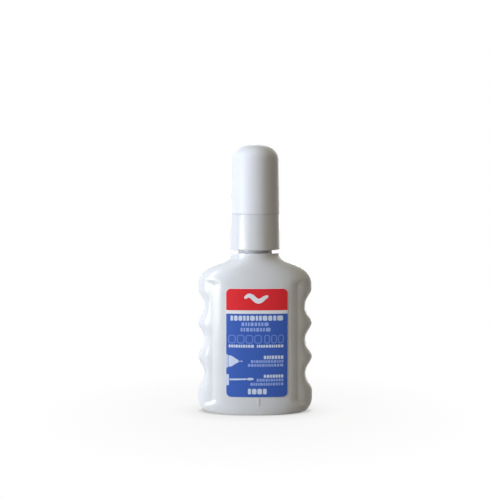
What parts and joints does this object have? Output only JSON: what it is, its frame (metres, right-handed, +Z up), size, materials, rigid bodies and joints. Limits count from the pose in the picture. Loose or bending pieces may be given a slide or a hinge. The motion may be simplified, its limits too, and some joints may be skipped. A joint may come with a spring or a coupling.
{
  "type": "correction pen",
  "caption": "Correction fluid bottle with finger grips, a screw-on head with a metal writing tip above and a brush below, and a pull-off cap.",
  "frame": {"origin": "middle of the flat base of the bottle", "axes": "+Z up through the cap, X across the width of the bottle, -Y towards the labelled front"},
  "size_m": [0.036, 0.0156, 0.0836],
  "materials": {
    "bottle_plastic": "moulded gloss",
    "cap_plastic": "moulded gloss",
    "nozzle_plastic": "moulded satin",
    "inner_plastic": "moulded",
    "printed_film": "printed self-adhesive film",
    "soft_seal": "soft moulded",
    "steel": "polished stainless",
    "bristle_nylon": "fine nylon strands"
  },
  "bodies": {
    "bottle": {"bottle_body": "bottle_plastic", "front_label": "printed_film", "neck_wiper": "inner_plastic"},
    "ball": {"mixing_ball": "steel"},
    "gasket": {"neck_gasket": "soft_seal"},
    "head": {"screw_collar": "cap_plastic", "stem_holder": "inner_plastic", "brush_stem": "inner_plastic", "brush_ferrule": "inner_plastic", "brush_bristles": "bristle_nylon", "nozzle": "nozzle_plastic", "metal_tip": "steel", "spring_retainer": "inner_plastic", "tip_spring": "steel"},
    "needle": {"valve_needle": "steel"},
    "cap": {"cap_shell": "cap_plastic", "cap_seal": "soft_seal"}
  },
  "joints": [
    {"name": "head_lift", "type": "slide", "parent": "bottle", "child": "gasket", "axis": [0, 0, 1], "range_m": [0, 0.046]},
    {"name": "head_turn", "type": "hinge", "parent": "gasket", "child": "head", "pos_m": [0, 0, 0.0612], "axis": [0, 0, 1], "range_deg": [0, 540]},
    {"name": "needle_press", "type": "slide", "parent": "head", "child": "needle", "axis": [0, 0, 1], "range_m": [-0.0006, 0], "stiffness_N_per_m": 60, "springref_m": 0.0005, "deforming": ["tip_spring"]},
    {"name": "cap_pull", "type": "slide", "parent": "head", "child": "cap", "axis": [0, 0, 1], "range_m": [0, 0.022]},
    {"name": "ball_rattle", "type": "slide", "parent": "bottle", "child": "ball", "axis": [0, 0, 1], "range_m": [0, 0.036]}
  ]
}
